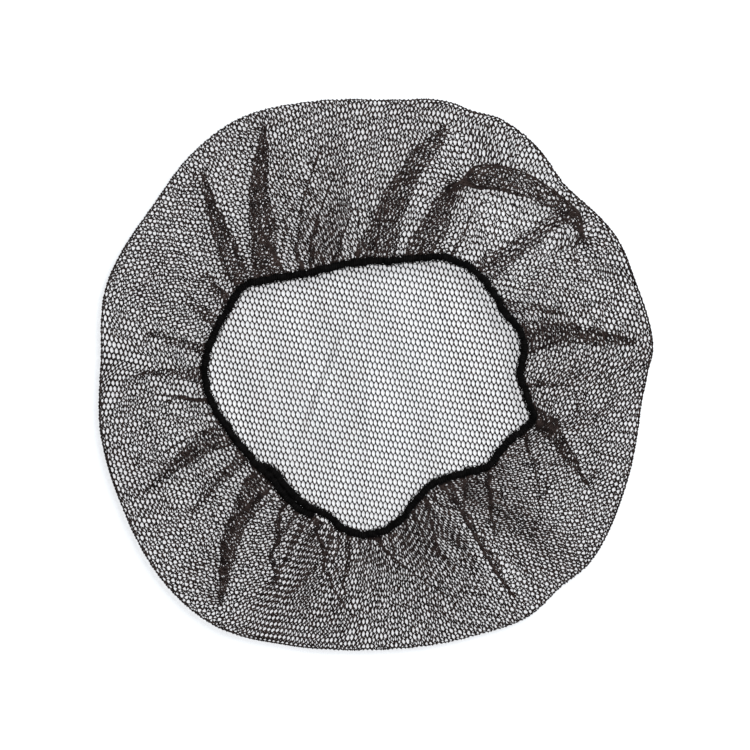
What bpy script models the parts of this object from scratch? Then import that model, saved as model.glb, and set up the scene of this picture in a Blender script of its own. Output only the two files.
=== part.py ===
"""Hairnet lying flat with its mouth up: a net cap gathered into an elastic band.

Metres, +Z up. The origin is under the middle of the cap, on the surface it lies on.
Angles are in degrees, counterclockwise from +X, seen from above.
"""
import math

import bmesh
import bpy
from mathutils import Vector

# Net cap
CAP_RADIUS = 0.1295        # share 1 in the outline table: middle of the cap to its fold edge
NET_WALL = 0.0010          # thickness of the netting, threads and fuzz together
EDGE_HEIGHT = 0.0068       # height of the soft fold that joins the lower and upper layers
FOLD_HEIGHT = 0.0042       # how far the tallest gather fold stands above the upper layer
RUFFLE_HEIGHT = 0.0008     # height of the small ruffles next to the band
RUFFLE_COUNT = 42          # small ruffles round the band
WAVE_HEIGHT = 0.0010       # slow rise and fall of the puffed upper layer

# Mouth and elastic band
MOUTH_RADIUS = 0.0699      # share 1 in the mouth table: middle of the mouth to the band's middle
MOUTH_SHIFT_X = -0.0040    # the mouth lies off the middle of the cap, to the left
MOUTH_SHIFT_Y = -0.0091    # and towards the front
BAND_DIAMETER = 0.0036     # relaxed elastic with its oversewn thread
BAND_HEIGHT = 0.0098       # middle of the band above the surface
BAND_WAVE = 0.0010         # how far the band rises and falls on the gathers
SEAM_GAP = 0.0003          # clearance between the band, its lapped end and the netting

# Lap where the two ends of the elastic lie side by side
LAP_ROOT_ANGLE = 214.0     # the inner end stops here
LAP_TIP_ANGLE = 246.0      # the outer end stops here
LAP_SWING_ANGLE = 16.0     # stretch in which the inner end moves over to the inside

# Mesh fineness
STATIONS = 168             # sections round the cap, and points round the band
LAYER_ROWS = 7             # rows from the fold edge to the band
EDGE_ROWS = 4              # rows round the outside of the fold edge
CURVE_ROWS = 3             # rows round the inside of the fold edge

# Outline of the cap seen from above: angle, radius as a share of CAP_RADIUS
OUTLINE = (
    (0, 0.980), (6, 1.006), (20, 0.996), (30, 1.000), (45, 0.967), (55, 1.008),
    (64, 1.026), (70, 1.014), (76, 1.018), (88, 0.992), (103, 1.012), (118, 1.047),
    (130, 1.037), (143, 1.010), (162, 1.024), (177, 0.994), (192, 1.016), (208, 1.034),
    (226, 1.073), (238, 1.075), (252, 1.026), (270, 0.993), (290, 1.006), (302, 1.032),
    (311, 1.016), (319, 1.028), (335, 0.990), (352, 0.964),
)

# Middle of the band round the mouth: angle, radius as a share of MOUTH_RADIUS
MOUTH = (
    (0, 1.052), (8, 1.022), (20, 1.100), (30, 1.060), (38, 1.070), (50, 1.080),
    (62, 1.030), (72, 0.940), (84, 0.888), (102, 0.874), (116, 0.893), (128, 0.975),
    (139, 1.085), (150, 1.080), (168, 1.095), (180, 1.053), (195, 0.945), (212, 0.868),
    (222, 0.846), (238, 0.882), (250, 0.886), (269, 0.930), (282, 0.882), (295, 0.771),
    (304, 0.738), (316, 0.780), (330, 0.937), (339, 0.965), (346, 1.040), (351, 1.112),
)

# Gather folds: angle at the band, angle at the tip, reach as a share of the way from the
# band to the fold edge, half spread at the band in degrees, height as a share of
# FOLD_HEIGHT, lean (the side that it is steeper on, -1 to 1)
FOLDS = (
    (18, 5, 0.94, 8.0, 1.00, 0.4),
    (46, 36, 0.72, 6.0, 0.75, -0.5),
    (58, 56, 0.58, 5.0, 0.55, 0.5),
    (68, 63, 0.95, 6.5, 0.85, -0.6),
    (77, 74, 0.96, 6.0, 0.90, 0.5),
    (89, 88, 0.38, 6.0, 0.60, 0.0),
    (100, 96, 0.45, 5.0, 0.40, 0.3),
    (113, 100, 0.64, 5.0, 0.60, -0.4),
    (121, 103, 0.70, 4.5, 0.60, -0.4),
    (132, 114, 0.93, 7.0, 0.95, 0.5),
    (143, 130, 0.90, 6.5, 0.80, -0.5),
    (154, 162, 0.98, 5.0, 0.55, 0.4),
    (167, 167, 0.69, 5.0, 0.55, 0.0),
    (175, 179, 0.81, 5.0, 0.65, -0.4),
    (184, 188, 0.52, 5.0, 0.50, 0.3),
    (194, 209, 0.89, 6.5, 0.75, 0.5),
    (216, 236, 0.87, 7.0, 0.85, 0.5),
    (229, 248, 0.81, 5.0, 0.70, -0.5),
    (251, 266, 0.76, 5.0, 0.75, -0.6),
    (272, 289, 0.75, 6.0, 0.65, 0.4),
    (290, 296, 0.50, 5.0, 0.45, 0.0),
    (308, 302, 0.96, 6.5, 0.95, -0.5),
    (329, 308, 0.55, 5.0, 0.60, 0.4),
    (342, 328, 0.78, 5.5, 0.60, -0.4),
    (355, 338, 0.50, 6.5, 0.75, 0.3),
)

# The wide flap of loose cloth that lies across the upper right, from tip to tip:
# angle, place as a share of the way from the fold edge to the band
FLAP_ROUTE = ((22, 0.08), (33, 0.18), (45, 0.24), (56, 0.30), (70, 0.46))
FLAP_HALF_WIDTH = 0.0085   # from the crest of the flap to its foot
FLAP_HEIGHT = 0.0022       # crest of the flap above the upper layer

NET_COLOUR = (0.020, 0.015, 0.014, 1.0)
BAND_COLOUR = (0.010, 0.010, 0.010, 1.0)


def clear_scene():
    """Remove every object that the scene starts with."""
    for obj in list(bpy.data.objects):
        bpy.data.objects.remove(obj, do_unlink=True)


def make_material(name, colour, roughness):
    """Return a non-metal Principled material."""
    material = bpy.data.materials.new(name)
    material.use_nodes = True
    shader = material.node_tree.nodes["Principled BSDF"]
    shader.inputs["Base Color"].default_value = colour
    shader.inputs["Roughness"].default_value = roughness
    shader.inputs["Metallic"].default_value = 0.0
    return material


def add_object(name, data, material):
    """Put a mesh or a curve into the scene under its part's name."""
    data.materials.append(material)
    obj = bpy.data.objects.new(name, data)
    bpy.context.scene.collection.objects.link(obj)
    return obj


def blend(start, end, share):
    return start + (end - start) * share


def ease(share):
    """Smooth step from 0 to 1 that is flat at both ends."""
    share = min(max(share, 0.0), 1.0)
    return share * share * (3.0 - 2.0 * share)


def polar(angle, radius):
    """Point in plan at this angle and radius from the middle."""
    turn = math.radians(angle)
    return Vector((radius * math.cos(turn), radius * math.sin(turn)))


def read_round(table, angle):
    """Read a closed table of (angle, share) rows as a smooth curve."""
    angle %= 360.0
    count = len(table)
    here = max(row for row in range(count) if table[row][0] <= angle)
    near = []
    for step in (-1, 0, 1, 2):
        turns, row = divmod(here + step, count)
        near.append((table[row][0] + 360.0 * turns, table[row][1]))
    (a0, s0), (a1, s1), (a2, s2), (a3, s3) = near
    u = (angle - a1) / (a2 - a1)
    slope_start = (s2 - s0) / (a2 - a0) * (a2 - a1)
    slope_end = (s3 - s1) / (a3 - a1) * (a2 - a1)
    return (
        (2 * u ** 3 - 3 * u ** 2 + 1) * s1 + (u ** 3 - 2 * u ** 2 + u) * slope_start
        + (3 * u ** 2 - 2 * u ** 3) * s2 + (u ** 3 - u ** 2) * slope_end
    )


def outline_point(angle, inset):
    """Point in plan on the cap's outline, moved inwards by the inset."""
    return polar(angle, CAP_RADIUS * read_round(OUTLINE, angle) - inset)


def mouth_point(angle, outset):
    """Point in plan on the band's middle line, moved out square to it by the outset."""
    middle = Vector((MOUTH_SHIFT_X, MOUTH_SHIFT_Y))
    here = middle + polar(angle, MOUTH_RADIUS * read_round(MOUTH, angle))
    before = middle + polar(angle - 1.0, MOUTH_RADIUS * read_round(MOUTH, angle - 1.0))
    after = middle + polar(angle + 1.0, MOUTH_RADIUS * read_round(MOUTH, angle + 1.0))
    along = (after - before).normalized()
    return here + Vector((along.y, -along.x)) * outset


def band_height(angle):
    """Height of the band's middle, which rides up and down on the gathers."""
    turn = math.radians(angle)
    return BAND_HEIGHT + BAND_WAVE * (0.6 * math.sin(3 * turn) + 0.4 * math.sin(5 * turn + 1.0))


def fold_height(angle, place):
    """Height that the gather folds add at this angle and place (0 edge, 1 band)."""
    total = 0.0
    for band_angle, tip_angle, reach, spread, height, lean in FOLDS:
        along = (place - (1.0 - reach)) / reach
        if along <= 0.0:
            continue
        crest = blend(tip_angle, band_angle, along)
        offset = (angle - crest + 180.0) % 360.0 - 180.0
        side = 1.0 + 0.5 * lean * (1 if offset > 0 else -1)
        across = offset / (spread * blend(0.55, 1.0, along) * side)
        if abs(across) < 1.0:
            rise = ease(along / 0.55) * blend(1.0, 0.55, ease((along - 0.7) / 0.3))
            total = max(total, FOLD_HEIGHT * height * rise * (1.0 - across ** 2) ** 2)
    return total


def layer_point(angle, place):
    """Point in plan on the upper layer (0 top of the fold edge, 1 rim at the band)."""
    edge = outline_point(angle, EDGE_HEIGHT / 2)
    rim = mouth_point(angle, BAND_DIAMETER / 2 + SEAM_GAP)
    return edge.lerp(rim, place)


def flap_height(point):
    """Height that the flap adds at this point in plan."""
    route = [layer_point(angle, place) for angle, place in FLAP_ROUTE]
    nearest = None
    for index in range(len(route) - 1):
        start = route[index]
        run = route[index + 1] - start
        share = min(max((point - start).dot(run) / run.length_squared, 0.0), 1.0)
        distance = (point - start - run * share).length
        if nearest is None or distance < nearest[0]:
            nearest = (distance, (index + share) / (len(route) - 1))
    distance, along = nearest
    across = distance / FLAP_HALF_WIDTH
    if across >= 1.0:
        return 0.0
    return FLAP_HEIGHT * math.sin(math.pi * along) * (1.0 - across ** 2) ** 2


def layer_height(angle, place):
    """Height of the upper layer's outer face."""
    turn = math.radians(angle)
    rim_height = band_height(angle) + NET_WALL / 2
    base = blend(EDGE_HEIGHT, rim_height, place ** 1.4)
    wave = WAVE_HEIGHT * math.sin(4 * turn + 0.6) * math.sin(math.pi * place)
    ruffle = RUFFLE_HEIGHT * math.cos(RUFFLE_COUNT * turn) * ease((place - 0.45) / 0.4)
    folds = fold_height(angle, place) * blend(1.0, 0.25, ease((place - 0.8) / 0.2))
    return base + wave + ruffle + folds + flap_height(layer_point(angle, place))


def cap_rings():
    """Rings of the net cap, from the underside round the fold edge to the rim and back."""
    angles = [360.0 * station / STATIONS for station in range(STATIONS)]
    bend = EDGE_HEIGHT / 2
    rings = []

    # Outer face of the fold edge, from the underside up
    for row in range(EDGE_ROWS):
        turn = math.pi * row / EDGE_ROWS
        inset = bend * (1.0 - math.sin(turn))
        height = bend * (1.0 - math.cos(turn))
        rings.append([(*outline_point(angle, inset), height) for angle in angles])

    # Outer face of the upper layer, in to the rim, then its inner face back out
    outer = []
    for row in range(LAYER_ROWS + 1):
        place = row / LAYER_ROWS
        outer.append([
            (*layer_point(angle, place), layer_height(angle, place)) for angle in angles
        ])
    rings += outer
    for ring in reversed(outer):
        rings.append([(x, y, z - NET_WALL) for x, y, z in ring])

    # Inner face of the fold edge, down to the top of the lower layer
    inner_bend = bend - NET_WALL
    for row in range(1, CURVE_ROWS + 1):
        turn = math.pi * (1.0 - row / CURVE_ROWS)
        inset = bend - inner_bend * math.sin(turn)
        height = bend - inner_bend * math.cos(turn)
        rings.append([(*outline_point(angle, inset), height) for angle in angles])
    return rings


def add_patch(shape, corners):
    """Two triangles that meet along the higher diagonal, so both faces bend alike."""
    a, b, c, d = corners
    if a.co.z + c.co.z > b.co.z + d.co.z:
        shape.faces.new((a, b, c))
        shape.faces.new((a, c, d))
    else:
        shape.faces.new((a, b, d))
        shape.faces.new((b, c, d))


def build_net_cap():
    """One closed shell: flat lower layer, soft fold edge and gathered upper layer."""
    mesh = bpy.data.meshes.new("net_cap")
    shape = bmesh.new()
    rings = [[shape.verts.new(point) for point in ring] for ring in cap_rings()]
    for lower, upper in zip(rings, rings[1:]):
        for station in range(STATIONS):
            after = (station + 1) % STATIONS
            add_patch(shape, (lower[station], lower[after], upper[after], upper[station]))
    shape.faces.new(reversed(rings[0]))
    shape.faces.new(rings[-1])
    shape.to_mesh(mesh)
    shape.free()
    mesh.shade_smooth()
    mesh.set_sharp_from_angle(angle=math.radians(60))
    return add_object("net_cap", mesh, make_material("black_netting", NET_COLOUR, 0.75))


def band_route():
    """Middle line of the elastic, from its outer end clockwise round to its inner end.

    Its points stand at the cap's stations, so that the band and the rim stay parallel.
    """
    pitch = 360.0 / STATIONS
    first = round(LAP_TIP_ANGLE / pitch)
    last = round(LAP_ROOT_ANGLE / pitch) - STATIONS
    swing_end = first - STATIONS + 1
    points = []
    for station in range(first, last - 1, -1):
        share = 1.0 + (swing_end - station) * pitch / LAP_SWING_ANGLE
        inward = ease(share) * (BAND_DIAMETER + SEAM_GAP)
        angle = station * pitch
        points.append((*mouth_point(angle, -inward), band_height(angle)))
    return points


def build_elastic_band():
    """One tube round the mouth, with its two ends lapped side by side."""
    route = band_route()
    curve = bpy.data.curves.new("elastic_band", "CURVE")
    curve.dimensions = "3D"
    curve.bevel_depth = BAND_DIAMETER / 2
    curve.bevel_resolution = 2
    curve.use_fill_caps = True
    spline = curve.splines.new("POLY")
    spline.points.add(len(route) - 1)
    for point, place in zip(spline.points, route):
        point.co = (*place, 1.0)
    return add_object("elastic_band", curve, make_material("black_elastic", BAND_COLOUR, 0.85))


clear_scene()
build_net_cap()
build_elastic_band()
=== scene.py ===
"""A black bouffant hairnet lying flat on a pale surface, seen from straight above.

Metres, +Z up. Angles are in degrees, counterclockwise from +X, seen from above.
"""
import math
import random

import bmesh
import bpy
import numpy as np
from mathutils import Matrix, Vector
from mathutils.bvhtree import BVHTree


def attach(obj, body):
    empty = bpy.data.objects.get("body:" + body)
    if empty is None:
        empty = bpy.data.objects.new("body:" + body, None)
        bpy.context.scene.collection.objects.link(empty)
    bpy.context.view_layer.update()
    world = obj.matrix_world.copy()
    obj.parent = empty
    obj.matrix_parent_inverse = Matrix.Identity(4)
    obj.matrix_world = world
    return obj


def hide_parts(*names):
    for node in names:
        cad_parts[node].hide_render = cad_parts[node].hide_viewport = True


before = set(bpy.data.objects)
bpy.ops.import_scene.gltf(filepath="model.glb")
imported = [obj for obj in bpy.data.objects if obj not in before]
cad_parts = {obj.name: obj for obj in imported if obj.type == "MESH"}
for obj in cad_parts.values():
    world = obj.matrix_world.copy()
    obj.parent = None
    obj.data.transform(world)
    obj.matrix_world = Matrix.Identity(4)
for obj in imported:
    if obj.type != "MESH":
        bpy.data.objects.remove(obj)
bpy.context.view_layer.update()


# Camera
# A long lens looks straight down. The photograph's 750 pixels span 349.5 mm where the net
# lies, and its middle pixel sits half a millimetre left of the middle of the cap.

PIXEL = 0.000466
PICTURE_WIDTH = 750        # pixels
CAMERA_HEIGHT = 1.5
SENSOR_WIDTH = 36.0

lens = bpy.data.cameras.new("camera")
lens.sensor_width = SENSOR_WIDTH
lens.lens = SENSOR_WIDTH * CAMERA_HEIGHT / (PICTURE_WIDTH * PIXEL)
camera = bpy.data.objects.new("camera", lens)
camera.location = (-1.0 * PIXEL, -0.5 * PIXEL, CAMERA_HEIGHT)
bpy.context.scene.collection.objects.link(camera)
bpy.context.scene.camera = camera
bpy.context.scene.view_settings.view_transform = "Standard"


# Surface and light
# Matte white card under a large soft box and an even white room, as in a product photo. The card
# also glows a little by itself, as painted light from below like a light table; the net cannot
# shade that glow, so it lifts the net's shadows on the card. It goes white where nothing shades
# it.

def to_linear(code):
    """Linear RGBA of an sRGB hex colour."""
    channels = [int(code[start:start + 2], 16) / 255 for start in (1, 3, 5)]
    linear = [c / 12.92 if c <= 0.04045 else ((c + 0.055) / 1.055) ** 2.4 for c in channels]
    return (*linear, 1.0)


def new_material(name):
    """A material, its nodes, and its Principled shader."""
    material = bpy.data.materials.new(name)
    material.use_nodes = True
    tree = material.node_tree
    return material, tree, tree.nodes["Principled BSDF"]


def add_node(tree, kind, settings=(), values=(), links=()):
    """Add one node with its settings, socket values and incoming links."""
    node = tree.nodes.new(kind)
    for name, value in dict(settings).items():
        setattr(node, name, value)
    for socket, value in dict(values).items():
        node.inputs[socket].default_value = value
    for socket, source in dict(links).items():
        tree.links.new(source, node.inputs[socket])
    return node


CARD_GLOW = 0.65           # painted light: the card's own glow, unshaded by the net
SOFT_BOX_SIZE = 0.8
SOFT_BOX_PLACE = Vector((0.62, 0.55, 1.15))
SOFT_BOX_POWER = 9.5       # watts
ROOM_LIGHT = 0.265

card, tree, shader = new_material("white_card")
place = add_node(tree, "ShaderNodeTexCoord").outputs["Object"]
grain = add_node(tree, "ShaderNodeTexNoise", values={"Scale": 900.0}, links={"Vector": place})
tone = add_node(tree, "ShaderNodeValToRGB", links={"Fac": grain.outputs["Fac"]})
tone.color_ramp.elements[0].color = to_linear("#ebf2f5")
tone.color_ramp.elements[1].color = to_linear("#f3f9fb")
tree.links.new(tone.outputs["Color"], shader.inputs["Base Color"])
shader.inputs["Roughness"].default_value = 0.9
# Painted light: the card glows by itself, and this glow is not shaded by the net, so it lightens
# the net's shadows on the card.
shader.inputs["Emission Color"].default_value = to_linear("#fbfcff")
shader.inputs["Emission Strength"].default_value = CARD_GLOW

sheet_mesh = bpy.data.meshes.new("white_card")
shape = bmesh.new()
bmesh.ops.create_grid(shape, x_segments=1, y_segments=1, size=4.0)
shape.to_mesh(sheet_mesh)
shape.free()
sheet_mesh.materials.append(card)
floor = bpy.data.objects.new("white_card", sheet_mesh)
bpy.context.scene.collection.objects.link(floor)

soft_box = bpy.data.lights.new("soft_box", "AREA")
soft_box.shape = "SQUARE"
soft_box.size = SOFT_BOX_SIZE
soft_box.energy = SOFT_BOX_POWER
lamp = bpy.data.objects.new("soft_box", soft_box)
lamp.location = SOFT_BOX_PLACE
lamp.rotation_euler = SOFT_BOX_PLACE.to_track_quat("Z", "Y").to_euler()
bpy.context.scene.collection.objects.link(lamp)

room = bpy.data.worlds.new("white_room")
room.use_nodes = True
room.node_tree.nodes["Background"].inputs["Color"].default_value = to_linear("#fbfcff")
room.node_tree.nodes["Background"].inputs["Strength"].default_value = ROOM_LIGHT
bpy.context.scene.world = room


# Netting
# Black nylon yarn, warp-knitted into honeycomb net: neighbouring wales zigzag and are looped
# together in short upright pillars. One round piece of it lies flat, turns over at the fold
# edge without a hem and comes back to the mouth, gathered by the elastic.

CAP_RADIUS = 0.1295        # share 1 in the outline table
EDGE_HEIGHT = 0.0068       # height of the soft fold at the edge
NET_WALL = 0.0010
MOUTH_RADIUS = 0.0699      # share 1 in the mouth table
MOUTH_MIDDLE = (-0.0040, -0.0091)
BAND_HEIGHT = 0.0098
BAND_WAVE = 0.0010

# Outline of the cap seen from above: angle, radius as a share of CAP_RADIUS
OUTLINE = (
    (0, 0.980), (6, 1.006), (20, 0.996), (30, 1.000), (45, 0.967), (55, 1.008),
    (64, 1.026), (70, 1.014), (76, 1.018), (88, 0.992), (103, 1.012), (118, 1.047),
    (130, 1.037), (143, 1.010), (162, 1.024), (177, 0.994), (192, 1.016), (208, 1.034),
    (226, 1.073), (238, 1.075), (252, 1.026), (270, 0.993), (290, 1.006), (302, 1.032),
    (311, 1.016), (319, 1.028), (335, 0.990), (352, 0.964),
)

# Middle of the band round the mouth: angle, radius as a share of MOUTH_RADIUS
MOUTH = (
    (0, 1.052), (8, 1.022), (20, 1.100), (30, 1.060), (38, 1.070), (50, 1.080),
    (62, 1.030), (72, 0.940), (84, 0.888), (102, 0.874), (116, 0.893), (128, 0.975),
    (139, 1.085), (150, 1.080), (168, 1.095), (180, 1.053), (195, 0.945), (212, 0.868),
    (222, 0.846), (238, 0.882), (250, 0.886), (269, 0.930), (282, 0.882), (295, 0.771),
    (304, 0.738), (316, 0.780), (330, 0.937), (339, 0.965), (346, 1.040), (351, 1.112),
)


def read_round(table, angles):
    """Read a closed table of (angle, share) rows as a smooth curve, at many angles."""
    rows = np.array(table, dtype=float)
    stops = np.concatenate([rows[-2:, 0] - 360, rows[:, 0], rows[:2, 0] + 360])
    shares = np.concatenate([rows[-2:, 1], rows[:, 1], rows[:2, 1]])
    slopes = np.gradient(shares, stops)
    slopes[1:-1] = (shares[2:] - shares[:-2]) / (stops[2:] - stops[:-2])
    angles = np.mod(angles, 360.0)
    here = np.searchsorted(stops, angles, side="right") - 1
    gap = stops[here + 1] - stops[here]
    u = (angles - stops[here]) / gap
    return (
        (2 * u ** 3 - 3 * u ** 2 + 1) * shares[here]
        + (u ** 3 - 2 * u ** 2 + u) * gap * slopes[here]
        + (3 * u ** 2 - 2 * u ** 3) * shares[here + 1]
        + (u ** 3 - u ** 2) * gap * slopes[here + 1]
    )


def polar(angles, radius):
    """Points in plan at these angles and radii, as rows of x and y."""
    turns = np.radians(angles)
    return np.stack([radius * np.cos(turns), radius * np.sin(turns)], axis=-1)


def edge_point(angles):
    """Middle of the fold edge's bend, in plan."""
    return polar(angles, CAP_RADIUS * read_round(OUTLINE, angles) - EDGE_HEIGHT / 2)


def mouth_point(angles, outset=0.0):
    """Point on the band's middle line, moved out square to it by the outset."""
    here = polar(angles, MOUTH_RADIUS * read_round(MOUTH, angles))
    before = polar(angles - 1.0, MOUTH_RADIUS * read_round(MOUTH, angles - 1.0))
    after = polar(angles + 1.0, MOUTH_RADIUS * read_round(MOUTH, angles + 1.0))
    along = after - before
    along /= np.linalg.norm(along, axis=-1, keepdims=True)
    out = np.stack([along[..., 1], -along[..., 0]], axis=-1)
    return np.array(MOUTH_MIDDLE) + here + out * np.expand_dims(outset, -1)


def layer_point(angles, places):
    """Point in plan on the upper layer, from the fold edge (0) to the band (1)."""
    edge = edge_point(angles)
    return edge + (mouth_point(angles) - edge) * np.expand_dims(places, -1)


def band_height(angles):
    """Height of the band's middle, which rides on the gathers."""
    turns = np.radians(angles)
    return BAND_HEIGHT + BAND_WAVE * (0.6 * np.sin(3 * turns) + 0.4 * np.sin(5 * turns + 1.0))


def ease(share):
    """Smooth step from 0 to 1."""
    share = np.clip(share, 0.0, 1.0)
    return share * share * (3.0 - 2.0 * share)


# Pleats in which the loose cloth of the upper layer doubles over itself to meet the band:
# angle at the band, angle at the tip, reach from the band towards the fold edge as a share of
# the way, width at the band in millimetres
PLEATS = (
    (3, 0, 0.40, 2.8), (20, 7, 0.92, 17.5), (33, 19, 0.45, 8.4), (47, 38, 0.68, 11.7),
    (59, 57, 0.31, 3.7), (70, 65, 0.80, 16.8), (88, 75, 0.93, 19.0), (104, 96, 0.35, 2.3),
    (115, 99, 0.62, 2.8), (120, 102, 0.78, 1.9), (130, 114, 0.94, 17.0), (140, 130, 0.90, 15.5),
    (148, 145, 0.33, 6.0), (156, 155, 0.40, 3.7), (165, 168, 0.62, 6.5), (173, 179, 0.72, 5.6),
    (183, 185, 0.48, 2.8), (195, 207, 0.85, 11.0), (206, 216, 0.60, 8.0), (218, 236, 0.89, 15.0),
    (232, 247, 0.76, 3.3), (247, 266, 0.76, 2.3), (272, 289, 0.70, 1.9), (298, 292, 0.42, 1.9),
    (310, 302, 0.94, 5.6), (320, 307, 0.31, 2.8), (329, 308, 0.51, 3.7), (348, 324, 0.54, 3.3),
    (354, 333, 0.78, 12.0),
)
PLEAT_FULLNESS = 1.2       # how far each layer in a large pleat is itself drawn together
PLEAT_TAPER = 0.55         # power by which a pleat widens from its tip to the band
SPARE_USED = 0.66          # most of the cloth between two pleats that may go into them
FULL_LIFT_WIDTH = 0.0015   # a pleat this wide lies on top of its neighbour in full
SMALL_PLEATS = 92          # short gathers at the band, which take all the layers together
SMALL_PLEAT_SEED = 7
SMALL_PLEAT_REACH = (0.08, 0.38)      # least reach, and how much more the longest have
SMALL_PLEAT_WIDTH = (1.0, 2.8)        # millimetres at the band
CLOSEST_GATHERS = 215.0    # angle where they are longest and widest
GATHER = 1.6               # how much fuller the cloth is than its seat, for the small ones
PLEAT_LIFT = 0.00045       # between the layers of cloth in a large pleat
SMALL_PLEAT_LIFT = 0.5     # of that, between the layers in a small one

# Creases away from the band, first the wide flap of loose cloth at the upper right:
# route of angle and place, half width in millimetres, pull (above 1 the cloth doubles over)
CREASES = (
    (((73, 0.56), (66, 0.46), (61, 0.36), (54, 0.26), (48, 0.18), (41, 0.14), (35, 0.15),
      (29, 0.20)), 14.0, 2.0),
    (((120, 0.84), (109, 0.52), (102, 0.22)), 1.0, 1.5),
    (((115, 0.91), (106, 0.65), (99, 0.38)), 1.0, 1.5),
    (((192, 0.94), (196, 0.61), (201, 0.25)), 1.0, 1.5),
    (((232, 0.93), (242, 0.61), (247, 0.24)), 1.0, 1.5),
    (((247, 0.94), (257, 0.73), (263, 0.47), (266, 0.24)), 1.0, 1.5),
    (((272, 0.94), (280, 0.68), (285, 0.48), (289, 0.30)), 1.0, 1.5),
    (((310, 0.94), (306, 0.69), (303, 0.37), (302, 0.06)), 1.9, 1.6),
    (((329, 0.87), (318, 0.66), (308, 0.48)), 1.0, 1.5),
    (((338, 0.65), (332, 0.56), (325, 0.46)), 1.0, 1.5),
    (((346, 0.63), (339, 0.40), (331, 0.23)), 1.0, 1.5),
    (((351, 0.53), (5, 0.63)), 1.0, 1.5),
)
CREASE_FADE = 0.25         # share of a crease's route over which each end fades


def small_pleats():
    """Rows like those of PLEATS for the short gathers, longer and wider at the front left."""
    pick = random.Random(SMALL_PLEAT_SEED)
    rows = []
    for count in range(SMALL_PLEATS):
        root = 360.0 * (count + pick.uniform(-0.3, 0.3)) / SMALL_PLEATS
        closer = 1.0 + 0.5 * math.cos(math.radians(root - CLOSEST_GATHERS))
        reach = SMALL_PLEAT_REACH[0] + SMALL_PLEAT_REACH[1] * closer * pick.random() ** 2
        rows.append((root, root, reach, closer * pick.uniform(*SMALL_PLEAT_WIDTH)))
    return rows


def fold_over(angles, places, cloth_degree, pleats, fullness):
    """Double cloth over itself in each pleat: its new angles, and how high it lies, -1 to 1.

    cloth_degree is the width of cloth in a degree of the angles given.
    """
    roots, tips, reach, width = np.array(pleats, dtype=float).T
    along = np.clip((places[:, None] - (1 - reach)) / reach, 0.0, 1.0)
    middles = tips + (roots - tips) * along
    widths = width / 1000 * along ** PLEAT_TAPER
    middles = np.concatenate([middles[:, -1:] - 360, middles, middles[:, :1] + 360], axis=1)
    widths = np.concatenate([widths[:, -1:], widths, widths[:, :1]], axis=1)
    angles = np.mod(angles - middles[:, 1], 360.0) + middles[:, 1]

    line = np.arange(len(angles))
    here = (middles <= angles[:, None]).sum(axis=1) - 1
    here = np.clip(here, 0, middles.shape[1] - 2)
    start, end = middles[line, here], middles[line, here + 1]
    gap = np.maximum(end - start, 0.05)
    apart = layer_point(angles + 1.0, places) - layer_point(angles - 1.0, places)
    seen_degree = np.linalg.norm(apart, axis=-1) / 2
    before = widths[line, here] * fullness / cloth_degree / 2
    after = widths[line, here + 1] * fullness / cloth_degree / 2
    spare = SPARE_USED * gap * np.clip(1 - seen_degree / cloth_degree, 0.0, 1.0)
    fit = np.minimum(1.0, spare / (before + after + 1e-9))
    before, after = before * fit + 1e-9, after * fit + 1e-9
    seen_before = before * cloth_degree / seen_degree / fullness
    seen_after = after * cloth_degree / seen_degree / fullness

    step = angles - start
    left = gap - step
    middle_run = (step - before) / (gap - before - after)
    laid = start - seen_before + middle_run * (gap + seen_before + seen_after)
    laid = np.where(step < before, start - seen_before * step / before, laid)
    laid = np.where(left < after, end + seen_after * left / after, laid)
    low = -ease(widths[line, here] * fit / FULL_LIFT_WIDTH)
    high = ease(widths[line, here + 1] * fit / FULL_LIFT_WIDTH)
    lift = low + (high - low) * np.clip(middle_run, 0.0, 1.0)
    lift = np.where(step < before, low * step / before, lift)
    lift = np.where(left < after, high * left / after, lift)
    return laid, lift


def pleat(angles, places, radii):
    """Where the pleats carry the cloth to: its angle, and its height above the solid's wall."""
    laid, lift = fold_over(angles, places, radii * math.pi / 180, PLEATS, PLEAT_FULLNESS)
    apart = layer_point(laid + 1.0, places) - layer_point(laid - 1.0, places)
    seat = np.linalg.norm(apart, axis=-1) / 2
    laid, small_lift = fold_over(laid, places, seat * GATHER, small_pleats(), 1.0)
    return laid, (lift + SMALL_PLEAT_LIFT * small_lift) * PLEAT_LIFT


def smooth_route(stops, steps=8):
    """Points on a smooth curve through the stops."""
    ends = [2 * stops[0] - stops[1], *stops, 2 * stops[-1] - stops[-2]]
    points = []
    for a, b, c, d in zip(ends, ends[1:], ends[2:], ends[3:]):
        for step in range(steps):
            u = step / steps
            points.append(0.5 * (2 * b + (c - a) * u + (2 * a - 5 * b + 4 * c - d) * u ** 2
                                 + (3 * b - a - 3 * c + d) * u ** 3))
    return np.array([*points, stops[-1]])


def crease(points, hold):
    """Draw the cloth in towards each crease, less where the fold edge holds it."""
    for route, half_width, pull in CREASES:
        stops = [layer_point(np.array([float(a)]), np.array([p]))[0] for a, p in route]
        line = smooth_route(stops)
        width = half_width / 1000
        nearest = np.full(len(points), np.inf)
        offset = np.zeros_like(points)
        where = np.zeros(len(points))
        for number, (start, end) in enumerate(zip(line, line[1:])):
            run = end - start
            along = np.clip((points - start) @ run / (run @ run), 0.0, 1.0)
            away = points - start - along[:, None] * run
            far = np.linalg.norm(away, axis=1)
            closer = far < nearest
            nearest = np.where(closer, far, nearest)
            offset = np.where(closer[:, None], away, offset)
            where = np.where(closer, (number + along) / (len(line) - 1), where)
        strength = pull * hold * ease(where / CREASE_FADE) * ease((1 - where) / CREASE_FADE)
        points = points - offset * (strength * np.exp(-0.5 * (nearest / width) ** 2))[:, None]
    return points


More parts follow.
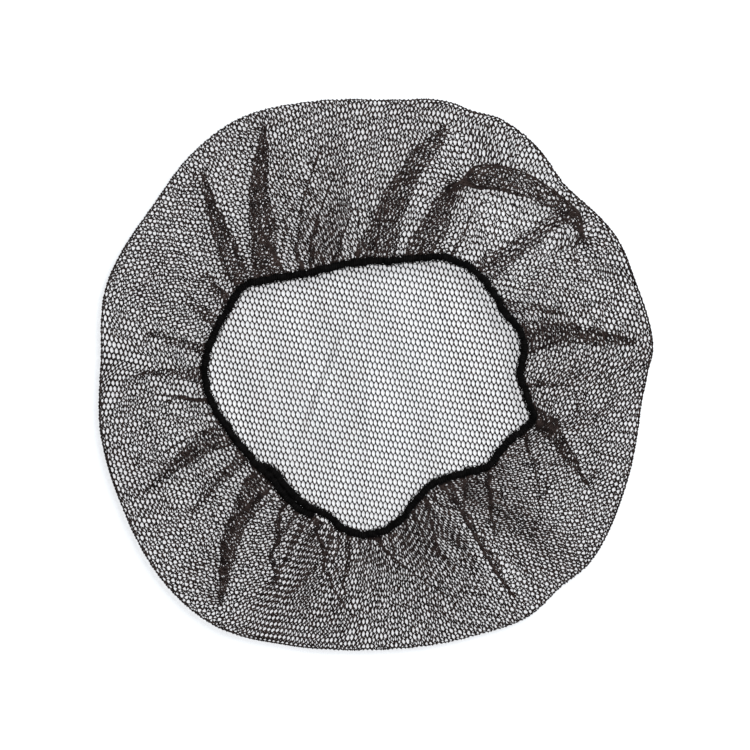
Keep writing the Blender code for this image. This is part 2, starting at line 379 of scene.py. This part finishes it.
# The knit's repeat, as the cloth lies in the mouth. A pillar is one upright bar of the
# honeycomb. From its foot a heavy lapping yarn runs down to the right and a thin one to the left.
COLUMN_STEP = Vector((0.00209, -0.00037, 0.0))
ROW_STEP = Vector((-0.00005, -0.00291, 0.0))
PILLAR = Vector((-0.00015, -0.00182, 0.0))
YARN_RADIUS = 0.000316
YARN_SIDES = 3
YARN_UNEVEN = 0.18         # by this share thicker and thinner
YARN_DRAWN = 0.15          # by this share thinner at the band, where the elastic pulls at it
KNOT_THICKNESS = 2.00      # the loops at both ends of a pillar, as a share of the yarn
PILLAR_THICKNESS = 0.60    # the bare middle of a pillar
HEAVY_THICKNESS = 0.95     # the middle of the heavy lapping yarn
THIN_THICKNESS = 0.68      # the thin lapping yarn
THIN_LIES_OVER = Vector((0.0, 0.0, 0.00003))
CLOTH_REACH = 0.215        # half the side of the knitted square that the round is cut from
LOWER_HEIGHT = 0.0008      # the lower layer floats this high on its own springy knots
EDGE_BEND = EDGE_HEIGHT / 2 - LOWER_HEIGHT
UPPER_SLACK = 1.02         # length of the upper layer, as a share of the way it has to go

# How the cloth strays from lying flat and even
RIPPLE_X = 0.00016
RIPPLE_Y = 0.00012
WALE_SWAY = 0.00018        # of the wales in the mouth, side to side
RIPPLE_HEIGHT = 0.00015
SOFT_FOLD = ((-0.012, 0.031), (-0.041, -0.044))      # ends of a faint crease in the mouth
SOFT_FOLD_WIDTH = 0.0022
SOFT_FOLD_PULL = 0.3
SLIP_WAVES = ((23, 1, 1.0), (41, 2, 0.6), (67, 0, 0.2))      # count, phase, millimetres
LOOSE_SWAY = 0.0006        # of the upper layer, half way between the fold edge and the band
CREASE_START = 0.12        # share of the way in from the fold edge at which creases draw in full
UPPER_WALL_FROM = 0.7      # of EDGE_HEIGHT: the solid's upper wall lies higher than this
SEAT_START = 0.93          # share of the way in from which the cloth goes over to the band
SEAT_RUN = 0.07

net_yarn, tree, shader = new_material("black_nylon_net_yarn")
# Nylon filament yarn, dyed black, matte, and slightly brown where thin. Its colour is painted
# lighter than black dye, a grey-brown that stands in as painted sheen of the lamps on the nylon.
place = add_node(tree, "ShaderNodeTexCoord").outputs["Object"]
cloudy = add_node(
    tree, "ShaderNodeTexNoise", values={"Scale": 260.0, "Detail": 3.0}, links={"Vector": place}
)
dye_and_sheen = add_node(tree, "ShaderNodeValToRGB", links={"Fac": cloudy.outputs["Fac"]})
dye_and_sheen.color_ramp.elements[0].position = 0.35
# Painted sheen: these grey-brown tones are lighter than the black yarn, to stand in for light
# reflected off the nylon.
dye_and_sheen.color_ramp.elements[0].color = to_linear("#2e2625")
dye_and_sheen.color_ramp.elements[1].position = 0.70
dye_and_sheen.color_ramp.elements[1].color = to_linear("#564844")
tree.links.new(dye_and_sheen.outputs["Color"], shader.inputs["Base Color"])
filament = add_node(
    tree, "ShaderNodeTexNoise", values={"Scale": 9000.0}, links={"Vector": place}
)
relief = add_node(
    tree, "ShaderNodeBump", values={"Strength": 0.4, "Distance": 0.00003},
    links={"Height": filament.outputs["Fac"]},
)
tree.links.new(relief.outputs["Normal"], shader.inputs["Normal"])
shader.inputs["Roughness"].default_value = 0.7
shader.inputs["Specular IOR Level"].default_value = 0.15


def yarn_nodes(radius, sides, variation):
    """Geometry nodes that turn chains of edges into round yarn of a slightly uneven size."""
    tree = bpy.data.node_groups.new("round_yarn", "GeometryNodeTree")
    tree.interface.new_socket("Geometry", in_out="INPUT", socket_type="NodeSocketGeometry")
    tree.interface.new_socket("Geometry", in_out="OUTPUT", socket_type="NodeSocketGeometry")
    source = add_node(tree, "NodeGroupInput")
    chains = add_node(tree, "GeometryNodeMeshToCurve", links={"Mesh": source.outputs[0]})
    uneven = add_node(tree, "ShaderNodeTexNoise", values={"Scale": 700.0})
    wander = add_node(
        tree, "ShaderNodeMapRange",
        values={
            "From Min": 0.25, "From Max": 0.75,
            "To Min": 1 - variation, "To Max": 1 + variation,
        },
        links={"Value": uneven.outputs["Fac"]},
    )
    thickness = add_node(
        tree, "GeometryNodeInputNamedAttribute", settings={"data_type": "FLOAT"},
        values={"Name": "thickness"},
    )
    size = add_node(
        tree, "ShaderNodeMath", settings={"operation": "MULTIPLY"},
        links={0: wander.outputs["Result"], 1: thickness.outputs["Attribute"]},
    )
    circle = add_node(
        tree, "GeometryNodeCurvePrimitiveCircle", values={"Resolution": sides, "Radius": radius}
    )
    tube = add_node(
        tree, "GeometryNodeCurveToMesh",
        values={"Fill Caps": True},
        links={
            "Curve": chains.outputs["Curve"], "Profile Curve": circle.outputs["Curve"],
            "Scale": size.outputs["Value"],
        },
    )
    smooth = add_node(
        tree, "GeometryNodeSetShadeSmooth", values={"Shade Smooth": True},
        links={"Geometry": tube.outputs["Mesh"]},
    )
    add_node(tree, "NodeGroupOutput", links={0: smooth.outputs[0]})
    return tree


def finished(obj):
    """The object's mesh with its modifiers applied."""
    depsgraph = bpy.context.evaluated_depsgraph_get()
    mesh = bpy.data.meshes.new_from_object(obj.evaluated_get(depsgraph))
    obj.modifiers.clear()
    old = obj.data
    obj.data = mesh
    bpy.data.meshes.remove(old)
    return obj


def spin_yarn(obj, radius, sides, variation, material):
    """Give a mesh of edge chains the body of round yarn."""
    body = obj.modifiers.new("yarn", "NODES")
    body.node_group = yarn_nodes(radius, sides, variation)
    finished(obj)
    obj.data.materials.clear()
    obj.data.materials.append(material)
    return obj


def knit_square(name, first_column, last_column):
    """Honeycomb net on a flat square of cloth, as chains of edges.

    Each heavy yarn is one long chain through pillar after pillar. The thin yarns only start and
    end inside its knots, a hair above, so that no merge joins them to it.
    """
    shape = bmesh.new()
    size = shape.verts.layers.float.new("thickness")

    def bend(spot, thickness):
        vertex = shape.verts.new(spot)
        vertex[size] = thickness
        return vertex

    def chain(*bends):
        for one, other in zip(bends, bends[1:]):
            shape.edges.new((one, other))

    for row in (0, 1):
        head = ROW_STEP * row + COLUMN_STEP * 0.5 * row
        foot = head + PILLAR
        right = head + ROW_STEP + COLUMN_STEP * 0.5
        left = right - COLUMN_STEP
        chain(
            bend(head, KNOT_THICKNESS), bend((head + foot) / 2, PILLAR_THICKNESS),
            bend(foot, KNOT_THICKNESS), bend((foot + right) / 2, HEAVY_THICKNESS),
            bend(right, KNOT_THICKNESS),
        )
        chain(
            bend(foot + THIN_LIES_OVER, THIN_THICKNESS),
            bend(left + THIN_LIES_OVER, THIN_THICKNESS),
        )
    bmesh.ops.remove_doubles(shape, verts=shape.verts[:], dist=0.00001)
    bmesh.ops.translate(
        shape, verts=shape.verts[:], vec=COLUMN_STEP * first_column + Vector((0, CLOTH_REACH, 0))
    )
    mesh = bpy.data.meshes.new(name)
    shape.to_mesh(mesh)
    shape.free()
    obj = bpy.data.objects.new(name, mesh)
    bpy.context.scene.collection.objects.link(obj)
    row_pairs = math.ceil(CLOTH_REACH * 1.2 / -ROW_STEP.y)
    for part, step, count in (
        ("rows", ROW_STEP * 2, row_pairs), ("columns", COLUMN_STEP, last_column - first_column)
    ):
        repeat = obj.modifiers.new(part, "ARRAY")
        repeat.use_relative_offset = False
        repeat.use_constant_offset = True
        repeat.constant_offset_displace = step
        repeat.count = count
        repeat.use_merge_vertices = True
        repeat.merge_threshold = 0.00001
    return finished(obj)


def cut_radii(angles):
    """Radii in the flat round: the edge's bend, the top of the fold, and the rim at the band."""
    edge = np.linalg.norm(edge_point(angles), axis=-1)
    depth = np.linalg.norm(mouth_point(angles) - edge_point(angles), axis=-1) * UPPER_SLACK
    return edge, edge + math.pi * EDGE_BEND / 2, edge + math.pi * EDGE_BEND + depth


def bend_round(flat, angles, radii):
    """Move flat cloth points to where they lie: lower layer, fold edge or upper layer."""
    edge, _, rim = cut_radii(angles)
    past_edge = radii - edge
    depth = rim - edge - math.pi * EDGE_BEND
    places = (past_edge - math.pi * EDGE_BEND) / depth
    out = np.concatenate([flat, np.full((len(flat), 1), LOWER_HEIGHT)], axis=1)

    # The lower layer ripples a little on the surface, in waves some millimetres long
    x, y = flat[:, 0] * 1000, flat[:, 1] * 1000
    lies, inside = past_edge < 0, past_edge < -0.01
    out[:, 0] += RIPPLE_X * np.sin(y / 9.0 + np.sin(x / 17.0)) * lies
    out[:, 1] += RIPPLE_Y * np.sin(x / 7.0 + np.sin(y / 13.0)) * lies
    out[:, 0] += WALE_SWAY * np.sin(x / 4.1 + y / 31.0 + 2 * np.sin(y / 23.0)) * inside
    out[:, 2] += RIPPLE_HEIGHT * (1 + np.sin(x / 11.0 + 1.3 * np.sin(y / 15.0))) * lies
    start, end = np.array(SOFT_FOLD)
    square = np.array([end[1] - start[1], start[0] - end[0]]) / np.linalg.norm(end - start)
    off_line = (flat - start) @ square
    along = np.clip((flat - start) @ (end - start) / ((end - start) @ (end - start)), 0, 1)
    draw = off_line * np.exp(-0.5 * (off_line / SOFT_FOLD_WIDTH) ** 2) * np.sin(math.pi * along)
    out[:, :2] -= SOFT_FOLD_PULL * draw[:, None] * square

    # The fold edge
    turning = (past_edge >= 0) & (places < 0)
    turn = past_edge[turning] / EDGE_BEND
    reach = edge[turning] + EDGE_BEND * np.sin(turn)
    out[turning, :2] = polar(angles[turning], reach)
    out[turning, 2] = EDGE_HEIGHT / 2 - EDGE_BEND * np.cos(turn)

    # The upper layer, which follows the solid's upper face
    upper = places >= 0
    inward = np.clip(places[upper], 0.0, 1.0)
    round_it = np.radians(angles[upper])
    slip = sum(size * np.sin(count * round_it + phase) for count, phase, size in SLIP_WAVES)
    inward = inward + slip / 1000 / depth[upper] * np.sin(math.pi * inward)
    laid, lift = pleat(angles[upper], inward, radii[upper])
    plan = layer_point(laid, inward)
    a, b = plan[:, 0] * 1000, plan[:, 1] * 1000
    loose = (np.sin(math.pi * inward) * LOOSE_SWAY)[:, None]
    sway = np.stack([np.sin(b / 8.0 + np.sin(a / 14.0)), np.sin(a / 9.0 + np.sin(b / 12.0))], 1)
    short_x = np.sin(b / 2.1 + 2 * np.sin(a / 5.0))
    short_y = np.sin(a / 1.9 + 2 * np.sin(b / 4.4))
    sway += 0.7 * np.stack([short_x, short_y], 1)
    plan = crease(plan + loose * sway, ease(inward / CREASE_START))
    out[upper, :2] = plan
    out[upper, 2] = lie_on_solid(plan, laid, inward) + lift * (1 - inward ** 8)
    return out


def solid_tree(node):
    """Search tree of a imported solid's faces."""
    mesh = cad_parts[node].data
    corners = [vertex.co.copy() for vertex in mesh.vertices]
    return BVHTree.FromPolygons(corners, [tuple(face.vertices) for face in mesh.polygons])


cap_solid = solid_tree("net_cap")


def lie_on_solid(plan, angles, places):
    """Height of the netting at these points: the middle of the solid's upper wall."""
    heights = np.empty(len(plan))
    at_band = band_height(angles)
    for index, (x, y) in enumerate(plan):
        hit = cap_solid.ray_cast(Vector((x, y, 0.05)), Vector((0, 0, -1)))[0]
        if hit is None or hit.z < EDGE_HEIGHT * UPPER_WALL_FROM:
            heights[index] = at_band[index]
        else:
            heights[index] = hit.z - NET_WALL / 2
    near = ease((places - SEAT_START) / SEAT_RUN)
    return heights + (at_band - heights) * near


def lay_net(name, first_column, last_column, upper):
    """One part of the netting: the wales of some columns, in the lower or the upper layer."""
    obj = knit_square(name, first_column, last_column)
    shape = bmesh.new()
    shape.from_mesh(obj.data)
    flat = np.array([vertex.co[:2] for vertex in shape.verts])
    angles = np.degrees(np.arctan2(flat[:, 1], flat[:, 0]))
    radii = np.linalg.norm(flat, axis=1)
    _, split, cut = cut_radii(angles)
    placed = bend_round(flat, angles, radii)
    size = shape.verts.layers.float["thickness"]
    drawn = np.clip((radii - split) / (cut - split), 0.0, 1.0)
    for vertex, point, share in zip(shape.verts, placed, drawn):
        vertex.co = point
        vertex[size] *= 1.0 - YARN_DRAWN * share
    shape.verts.ensure_lookup_table()
    drop = []
    for edge in shape.edges:
        ends = [vertex.index for vertex in edge.verts]
        middle = radii[ends].mean()
        beyond = radii[ends].max() > cut[ends].max()
        if beyond or (middle >= split[ends].mean()) != upper:
            drop.append(edge)
    bmesh.ops.delete(shape, geom=drop, context="EDGES")
    loose = [vertex for vertex in shape.verts if not vertex.link_edges]
    bmesh.ops.delete(shape, geom=loose, context="VERTS")
    shape.to_mesh(obj.data)
    shape.free()
    spin_yarn(obj, YARN_RADIUS, YARN_SIDES, YARN_UNEVEN, net_yarn)
    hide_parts("net_cap")
    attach(obj, "root")
    return obj


# The lower parts are half rounds and the upper parts half rings.
side_columns = math.ceil(CLOTH_REACH / COLUMN_STEP.x)
for layer, upper, held in (("lower", False, "laid"), ("upper", True, "gathered")):
    for side, first, last, turn in (
        ("left", -side_columns, 0, 90), ("right", 0, side_columns, -90)
    ):
        part = lay_net(f"net_{layer}_{side}", first, last, upper)
        half_round = turn + np.arange(0.5, 180.0)
        _, split, rim = cut_radii(half_round)


# Elastic band
# A soft round elastic cord, covered in black spun thread and oversewn to the gathered rim of
# the net with a loose overlock seam, which leaves it fuzzy. Its two ends lie lapped side by side.

STATIONS = 168
LAP_APART = 0.0031         # between the middles of the two lapped ends
LAP_TUCK = 3               # stations over which the inner end dips under the other strand
TUCK_ASIDE = 0.0016
TUCK_DOWN = 0.0014
LAP_ROOT_ANGLE = 214.0     # the inner end stops here
LAP_TIP_ANGLE = 246.0      # the outer end stops here
LAP_SWING_ANGLE = 16.0     # stretch in which the inner end moves over to the inside
FINE_STEP = 0.0004         # between points along the band
SMOOTHING = 6              # rounds
WOBBLE = 0.00022           # of the cord from side to side, in long waves
SHORT_WOBBLE = 0.00016
CORD_RADIUS = 0.00155
SEAM_RADIUS = 0.00174      # from the cord's middle to the middle of the oversewn thread
THREAD_RADIUS = 0.00018
SEAM_SEED = 11


def band_line():
    """Middle line of the elastic, from its outer end clockwise round to its inner end."""
    pitch = 360.0 / STATIONS
    first = round(LAP_TIP_ANGLE / pitch)
    last = round(LAP_ROOT_ANGLE / pitch) - STATIONS
    stations = np.arange(first, last - 1, -1)
    share = 1.0 + (first - STATIONS + 1 - stations) * pitch / LAP_SWING_ANGLE
    inward = ease(share) * LAP_APART
    tucked = ease((LAP_TUCK + last - stations) / LAP_TUCK)
    inward -= TUCK_ASIDE * tucked
    angles = stations * pitch
    plan = mouth_point(angles, -inward)
    coarse = np.column_stack([plan, band_height(angles) - TUCK_DOWN * tucked])
    run = np.concatenate([[0.0], np.cumsum(np.linalg.norm(np.diff(coarse, axis=0), axis=1))])
    fine = np.linspace(0.0, run[-1], round(run[-1] / FINE_STEP))
    line = np.column_stack([np.interp(fine, run, coarse[:, axis]) for axis in range(3)])
    for _ in range(SMOOTHING):
        line[1:-1] = (line[:-2] + 2 * line[1:-1] + line[2:]) / 4
    return line


cord_line = band_line()
way = FINE_STEP * np.arange(len(cord_line))
wobble = WOBBLE * np.sin(way / 0.0021 + 2 * np.sin(way / 0.013))
wobble += SHORT_WOBBLE * np.sin(way / 0.0009)
cord_along = np.gradient(cord_line, axis=0)
cord_along /= np.linalg.norm(cord_along, axis=1, keepdims=True)
cord_side = np.cross(cord_along, (0.0, 0.0, 1.0))      # points into the mouth
cord_side /= np.linalg.norm(cord_side, axis=1, keepdims=True)
cord_up = np.cross(cord_side, cord_along)
cord_line = cord_line + wobble[:, None] * cord_side


def beside_cord(run, turn, distance):
    """Points at these lengths along the cord, this far from its middle.

    A turn of 0 is towards the mouth, and a quarter turn is up.
    """
    place = np.clip(np.asarray(run) / FINE_STEP, 0, len(cord_line) - 1.001)
    low = place.astype(int)
    part = (place - low)[:, None]

    def between(rows):
        return rows[low] * (1 - part) + rows[low + 1] * part

    out = np.cos(turn)[:, None] * between(cord_side) + np.sin(turn)[:, None] * between(cord_up)
    return between(cord_line) + np.expand_dims(distance, -1) * out


def thread_object(name, strands, radius, sides, material, node):
    """One piece of many strands, each a row of points with its own thickness."""
    shape = bmesh.new()
    size = shape.verts.layers.float.new("thickness")
    for points, thickness in strands:
        chain = []
        for spot, thick in zip(points, np.broadcast_to(thickness, len(points))):
            vertex = shape.verts.new(spot)
            vertex[size] = thick
            chain.append(vertex)
        for one, other in zip(chain, chain[1:]):
            shape.edges.new((one, other))
    mesh = bpy.data.meshes.new(name)
    shape.to_mesh(mesh)
    shape.free()
    obj = bpy.data.objects.new(name, mesh)
    bpy.context.scene.collection.objects.link(obj)
    spin_yarn(obj, radius, sides, 0.15, material)
    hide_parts(node)
    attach(obj, "root")
    return obj


def spun_thread(name, dark, light, grain_scale):
    """Spun polyester thread: matte, with lighter patches, which on the black threads are painted
    highlight where the fibres catch the light.
    """
    material, tree, shader = new_material(name)
    place = add_node(tree, "ShaderNodeTexCoord").outputs["Object"]
    patches = add_node(
        tree, "ShaderNodeTexNoise", values={"Scale": 420.0, "Detail": 4.0}, links={"Vector": place}
    )
    # The lighter colour is painted highlight on the black cover and seam threads, and a brownish
    # tone on the net's rim.
    dye_and_sheen = add_node(tree, "ShaderNodeValToRGB", links={"Fac": patches.outputs["Fac"]})
    dye_and_sheen.color_ramp.elements[0].position = 0.38
    dye_and_sheen.color_ramp.elements[0].color = to_linear(dark)
    dye_and_sheen.color_ramp.elements[1].position = 0.72
    dye_and_sheen.color_ramp.elements[1].color = to_linear(light)
    tree.links.new(dye_and_sheen.outputs["Color"], shader.inputs["Base Color"])
    fibres = add_node(
        tree, "ShaderNodeTexNoise", values={"Scale": grain_scale, "Detail": 2.0},
        links={"Vector": place},
    )
    relief = add_node(
        tree, "ShaderNodeBump", values={"Strength": 0.7, "Distance": 0.00008},
        links={"Height": fibres.outputs["Fac"]},
    )
    tree.links.new(relief.outputs["Normal"], shader.inputs["Normal"])
    shader.inputs["Roughness"].default_value = 0.9
    shader.inputs["Specular IOR Level"].default_value = 0.12
    return material


cover_thread = spun_thread("black_spun_polyester_cover", "#090909", "#171616", 3800.0)
seam_thread = spun_thread("black_spun_polyester_seam_thread", "#0b0b0b", "#242222", 6000.0)
rim_yarn = spun_thread("brown_black_net_rim", "#120c0b", "#3d2a24", 6000.0)

cord_length = FINE_STEP * (len(cord_line) - 1)
throw = np.random.default_rng(SEAM_SEED)

# The covered cord, fatter where the cover bunches up, and thinner at its outer end
BUNCHES = 260
BUNCHED = (0.86, 1.10)     # least and most thickness
TIP_POINTS = 12            # points over which the end widens
numbers = np.arange(len(cord_line))
bunched = np.interp(numbers, np.linspace(0, len(cord_line), BUNCHES),
                    throw.uniform(*BUNCHED, BUNCHES))
bunched *= 0.6 + 0.4 * ease(numbers / TIP_POINTS)
thread_object("elastic_cord", [(cord_line, bunched)], CORD_RADIUS, 12, cover_thread,
              "elastic_band")

# The overlock seam: one thread wound closely round, one back across it more loosely
for name, pitch, points_a_turn, slack in (
    ("oversewn_thread", 0.00105, 10, 0.00022), ("crossing_thread", -0.0023, 12, 0.00040)
):
    count = round(cord_length / abs(pitch) * points_a_turn)
    run = np.linspace(0.0, cord_length, count)
    turn = 2 * math.pi * run / pitch + 0.5 * np.sin(run / 0.0071) + 0.3 * np.sin(run / 0.0023)
    away = SEAM_RADIUS + slack * throw.uniform(-0.6, 1.0, count)
    seam = beside_cord(run + 0.0003 * np.sin(turn), turn, away)
    thread_object(name, [(seam, throw.uniform(0.8, 1.2, count))], THREAD_RADIUS, 4, seam_thread,
                  "elastic_band")

# Short loops of seam thread along both sides of the band, and three that were pulled out
LOOPS = 640
PULLED_LOOPS = ((322, 0.0021), (309, 0.0014), (33, 0.0016))      # angle on the band, how far out
strands = []
for number in range(LOOPS):
    spot = throw.uniform(0.0, cord_length)
    side = throw.choice((0.0, math.pi)) + throw.normal(0.0, 0.55)
    wide, tall = throw.uniform(0.0004, 0.0013), throw.uniform(0.0003, 0.0012)
    bow = np.linspace(0.0, math.pi, 6)
    run = spot - wide * np.cos(bow)
    strands.append((beside_cord(run, np.full(6, side), CORD_RADIUS + tall * np.sin(bow)), 0.6))
for angle, tall in PULLED_LOOPS:
    at = mouth_point(np.array([float(angle)]))[0]
    spot = FINE_STEP * int(np.argmin(np.linalg.norm(cord_line[:, :2] - at, axis=1)))
    bow = np.linspace(0.0, math.pi, 12)
    run = spot - 0.0013 * np.cos(bow)
    strands.append((beside_cord(run, np.zeros(12), CORD_RADIUS + tall * np.sin(bow)), 1.0))
thread_object("seam_loops", strands, THREAD_RADIUS, 3, seam_thread, "elastic_band")

# Fuzz: loose fibre ends that stand off the thread
FUZZ = 3600
FUZZ_RADIUS = 0.00006
strands = []
for number in range(FUZZ):
    spot = throw.uniform(0.0, cord_length)
    side = throw.uniform(0.0, 2 * math.pi)
    length = throw.uniform(0.0003, 0.0014)
    lean = throw.uniform(-0.8, 0.8)
    steps = np.linspace(0.0, 1.0, 3)
    run = spot + lean * length * steps
    turn = side + throw.uniform(-0.35, 0.35) * steps ** 2
    away = SEAM_RADIUS + 0.0001 + length * steps * 0.8
    strands.append((beside_cord(run, turn, away), np.array([1.0, 0.8, 0.4])))
thread_object("thread_fuzz", strands, FUZZ_RADIUS, 3, seam_thread, "elastic_band")

# The net's raw rim, brownish where it is thin, curls out from under the band on both sides
RIM_LOOPS = 900
RIM_START = 0.0015         # from the cord's middle
strands = []
for number in range(RIM_LOOPS):
    spot = cord_length * (number + throw.uniform(-0.5, 0.5)) / RIM_LOOPS
    wide, tall = throw.uniform(0.0005, 0.0014), throw.uniform(0.0004, 0.0014)
    bow = np.linspace(0.0, math.pi, 6)
    run = spot - wide * np.cos(bow)
    away = RIM_START + tall * np.sin(bow)
    dip = -throw.uniform(0.10, 0.70) if number % 2 else math.pi + throw.uniform(0.0, 0.60)
    strands.append((beside_cord(run, np.full(6, dip), away), 0.75))
thread_object("raw_net_rim", strands, THREAD_RADIUS, 3, rim_yarn, "elastic_band")
